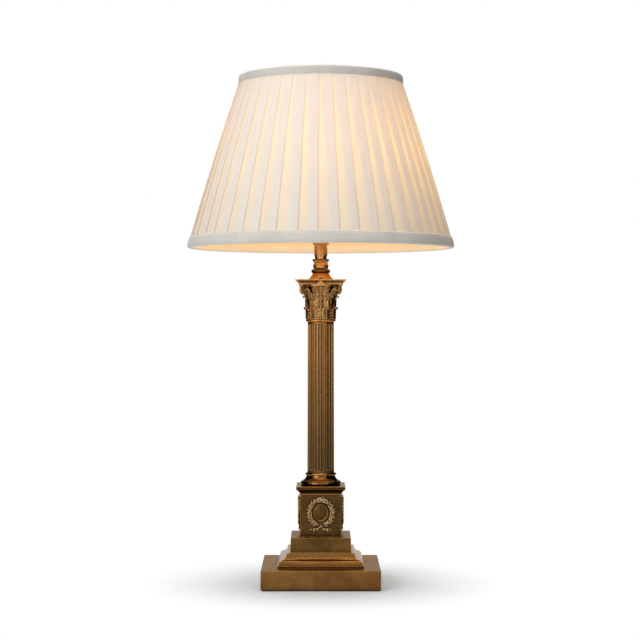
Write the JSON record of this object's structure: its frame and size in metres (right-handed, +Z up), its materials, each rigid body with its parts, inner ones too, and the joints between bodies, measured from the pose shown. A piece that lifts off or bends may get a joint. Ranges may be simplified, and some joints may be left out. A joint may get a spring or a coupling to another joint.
{
  "type": "table lamp",
  "caption": "Column table lamp with a stepped square base, a fluted column and leafed capital, a switched lampholder and a pleated cone shade.",
  "frame": {"origin": "centre of the felt underside of the base, on the table", "axes": "+Z up along the column, -Y towards the front, +X to the right"},
  "size_m": [0.3088, 0.3088, 0.5866],
  "materials": {
    "antique_brass": "cast, browned and rubbed bright on the edges",
    "bright_brass": "turned, lacquered",
    "plated_steel": "zinc plated",
    "black_steel": "blacked steel plate",
    "felt": "pressed wool felt",
    "black_moulding": "moulded, matt",
    "white_moulding": "heat resisting moulding",
    "frosted_glass": "frosted inside, lit",
    "clear_glass": "clear",
    "tungsten": "glowing wire",
    "nickel": "thin plated sheet",
    "pleated_cloth": "cotton and silk blend, knife pleated",
    "binding_cloth": "plain woven binding",
    "liner_cloth": "laminated lining, lit from inside",
    "white_wire": "white powder coat"
  },
  "bodies": {
    "stand": {"felt_pad": "felt", "base_slab": "antique_brass", "inlet_bush": "black_moulding", "base_weight": "black_steel", "weight_screws": "plated_steel", "ogee_plinth": "antique_brass", "upper_block": "antique_brass", "wreath_die": "antique_brass", "wreath_mounts": "antique_brass", "pedestal_cap": "antique_brass", "column_base": "antique_brass", "fluted_shaft": "antique_brass", "centring_rings": "white_moulding", "astragal_ring": "antique_brass", "capital": "antique_brass", "cone_cover": "bright_brass", "top_locknut": "plated_steel", "bead_ring": "antique_brass", "vase_collar": "antique_brass", "rim_washer": "antique_brass", "neck_tube": "antique_brass", "tie_rod": "plated_steel", "rod_washer": "plated_steel", "earth_tag": "bright_brass", "bottom_nut": "plated_steel", "holder_cup": "bright_brass", "switch_block": "black_moulding", "contact_block": "white_moulding", "terminal_screws": "bright_brass", "centre_contact": "bright_brass", "threaded_shell": "bright_brass", "insulating_sleeve": "white_moulding", "holder_skirt": "bright_brass"},
    "switch_push_bar": {"switch_bar": "bright_brass", "switch_buttons": "black_moulding"},
    "bulb_lift": {"glass_envelope": "frosted_glass"},
    "bulb_screw": {"bulb_cap": "nickel", "bulb_insulator": "black_moulding", "bulb_contact": "nickel", "bulb_stem": "clear_glass", "filament": "tungsten"},
    "shade": {"pleated_cover": "pleated_cloth", "shade_liner": "liner_cloth", "bottom_binding": "binding_cloth", "top_binding": "binding_cloth", "bottom_ring_wire": "white_wire", "top_ring_wire": "white_wire", "carrier_ring": "white_wire", "carrier_arms": "white_wire"},
    "shade_clamp": {"clamp_ring": "bright_brass"}
  },
  "joints": [
    {"name": "switch_push", "type": "slide", "parent": "stand", "child": "switch_push_bar", "axis": [1, 0, 0], "range_m": [0, 0.006]},
    {"name": "bulb_rise", "type": "slide", "parent": "stand", "child": "bulb_lift", "axis": [0, 0, 1], "range_m": [0, 0.0199]},
    {"name": "bulb_turn", "type": "hinge", "parent": "bulb_lift", "child": "bulb_screw", "pos_m": [0, 0, 0.45], "axis": [0, 0, 1], "range_deg": [0, 1980]},
    {"name": "shade_swivel", "type": "hinge", "parent": "stand", "child": "shade", "pos_m": [0, 0, 0.4288], "axis": [0, 0, 1], "continuous": true},
    {"name": "clamp_turn", "type": "hinge", "parent": "stand", "child": "shade_clamp", "pos_m": [0, 0, 0.4335], "axis": [0, 0, 1], "range_deg": [0, 360]}
  ],
  "couplings": [
    {"joint": "bulb_turn", "follows": "bulb_rise", "rad_per_m": 1731.6}
  ]
}
